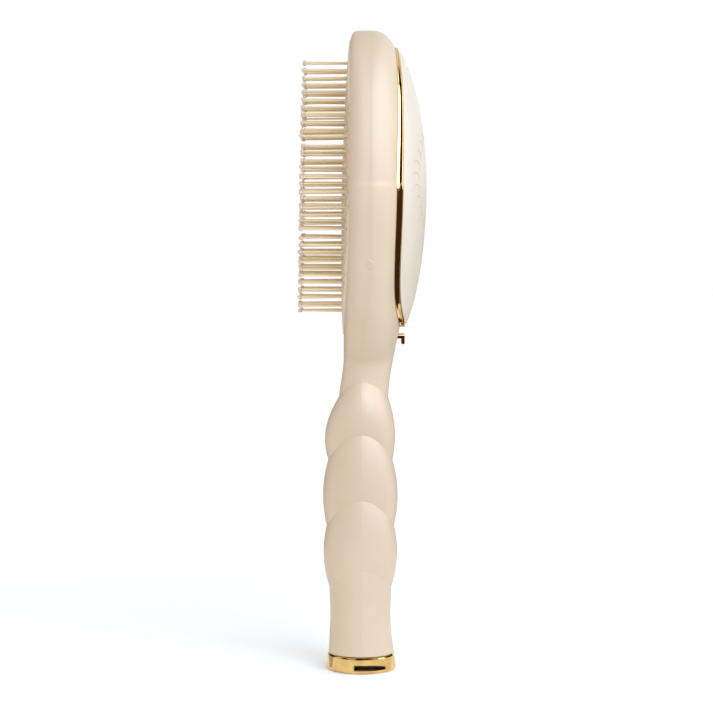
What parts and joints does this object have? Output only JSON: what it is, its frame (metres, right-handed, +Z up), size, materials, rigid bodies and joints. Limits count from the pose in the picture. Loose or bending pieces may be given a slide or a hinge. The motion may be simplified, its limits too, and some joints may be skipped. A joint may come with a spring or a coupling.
{
  "type": "detangling brush",
  "caption": "Upright self-cleaning detangling brush: swelling cream handle, oval head, ball-tipped pins in a soft pad, and a domed push plate in a gold ring that draws the pins back.",
  "frame": {"origin": "centre of the end cap's flat base, on the handle axis", "axes": "+Z up the handle to the crown, +Y to the domed push plate, the pins point to -Y, X across the head"},
  "size_m": [0.0686, 0.0482, 0.24],
  "materials": {
    "cream_shell": "satin soft-touch cream",
    "cream_cover": "satin soft-touch, slightly paler",
    "soft_pad": "soft translucent blush elastomer",
    "pin_nylon": "moulded tan nylon",
    "inner_nylon": "plain moulded",
    "gold_plating": "polished gold plate",
    "spring_steel": "drawn wire",
    "screw_steel": "plain"
  },
  "bodies": {
    "body": {"front_shell": "cream_shell", "rear_shell": "cream_shell", "cushion": "soft_pad", "cushion_retainer": "inner_nylon", "trim_ring": "gold_plating", "end_cap": "gold_plating", "cap_plug": "inner_nylon", "upper_spring": "spring_steel", "lower_spring": "spring_steel", "catch_spring": "spring_steel", "catch_guide": "inner_nylon", "guide_screws": "screw_steel"},
    "push_plate": {"back_cover": "cream_cover", "plate_frame": "inner_nylon", "pin_carrier": "inner_nylon", "bristles_upper": "pin_nylon", "bristles_middle": "pin_nylon", "bristles_lower": "pin_nylon", "carrier_screws": "screw_steel"},
    "catch": {"release_catch": "gold_plating"}
  },
  "joints": [
    {"name": "plate_slide", "type": "slide", "parent": "body", "child": "push_plate", "axis": [0, 1, 0], "range_m": [0, 0.0095], "deforming": ["upper_spring", "lower_spring"]},
    {"name": "catch_slide", "type": "slide", "parent": "body", "child": "catch", "axis": [0, 0, -1], "range_m": [0, 0.002], "stiffness_N_per_m": 400, "deforming": ["catch_spring"]}
  ]
}
